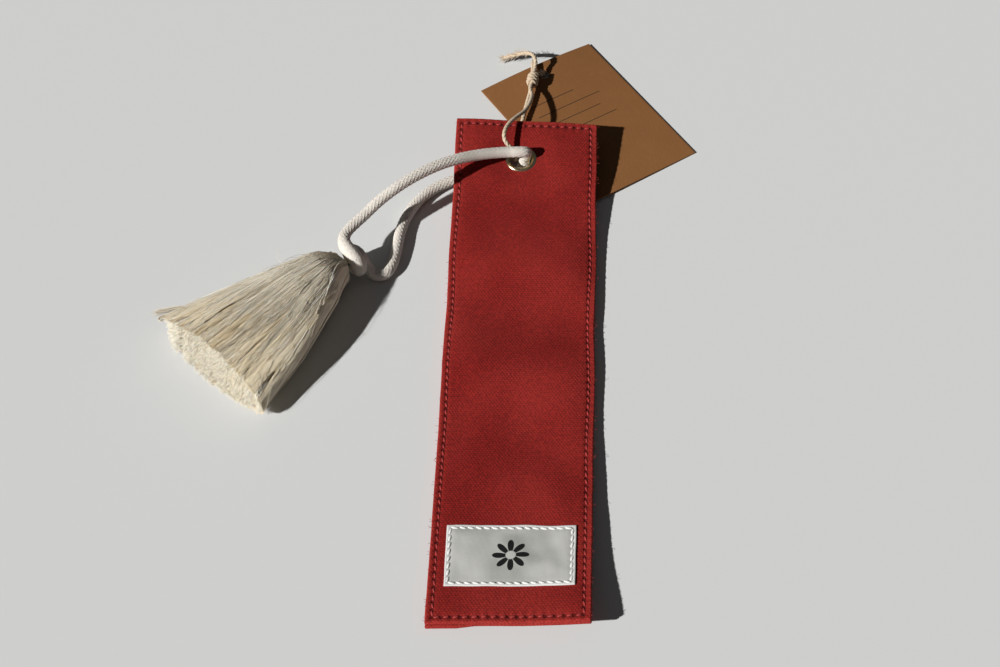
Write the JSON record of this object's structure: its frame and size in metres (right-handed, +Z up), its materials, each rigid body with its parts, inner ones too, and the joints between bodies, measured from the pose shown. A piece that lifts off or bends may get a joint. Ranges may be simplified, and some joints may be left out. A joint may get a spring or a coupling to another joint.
{
  "type": "bookmark",
  "caption": "Cloth bookmark: stitched canvas strip with a satin label, a metal eyelet, a cord with a cotton tassel and a kraft swing tag on twine.",
  "frame": {"origin": "on the table under the middle of the strip", "axes": "+Y along the strip towards the eyelet, +X across it, +Z up off the table"},
  "size_m": [0.1652, 0.2311, 0.0164],
  "materials": {
    "canvas_red": "woven cotton canvas, matt",
    "felt": "pressed felt",
    "thread_red": "twisted sewing thread",
    "label_white": "satin ribbon",
    "thread_white": "twisted sewing thread",
    "brass": "polished, pale",
    "cord_ivory": "braided cotton",
    "yarn_cream": "cotton yarn",
    "kraft": "uncoated kraft board",
    "twine_beige": "twisted hemp twine"
  },
  "bodies": {
    "panel": {"front_cloth": "canvas_red", "back_cloth": "canvas_red", "interlining": "felt", "edge_needle_thread": "thread_red", "edge_bobbin_thread": "thread_red", "label": "label_white", "label_thread": "thread_white", "eyelet": "brass", "eyelet_washer": "brass"},
    "cord": {"cord_front_strand": "cord_ivory", "cord_back_strand": "cord_ivory", "cord_knot": "cord_ivory"},
    "tassel": {"tassel_yarn": "yarn_cream", "tassel_tie": "yarn_cream"},
    "tag": {"swing_tag": "kraft", "twine_loop": "twine_beige", "twine_tag_loop": "twine_beige", "twine_tail": "twine_beige", "twine_knot": "twine_beige"}
  },
  "joints": [
    {"name": "cord_swing", "type": "hinge", "parent": "panel", "child": "cord", "pos_m": [-0.0014, 0.07764, 0.006], "axis": [0, 0, 1], "range_deg": [-20, 4]},
    {"name": "tassel_swing", "type": "hinge", "parent": "cord", "child": "tassel", "pos_m": [-0.0514, 0.03574, 0.005], "axis": [0, 0, 1], "range_deg": [-20, 20]},
    {"name": "tag_swing", "type": "hinge", "parent": "panel", "child": "tag", "pos_m": [-0.0014, 0.07764, 0.006], "axis": [0, 0, 1], "range_deg": [-15, 15]}
  ]
}
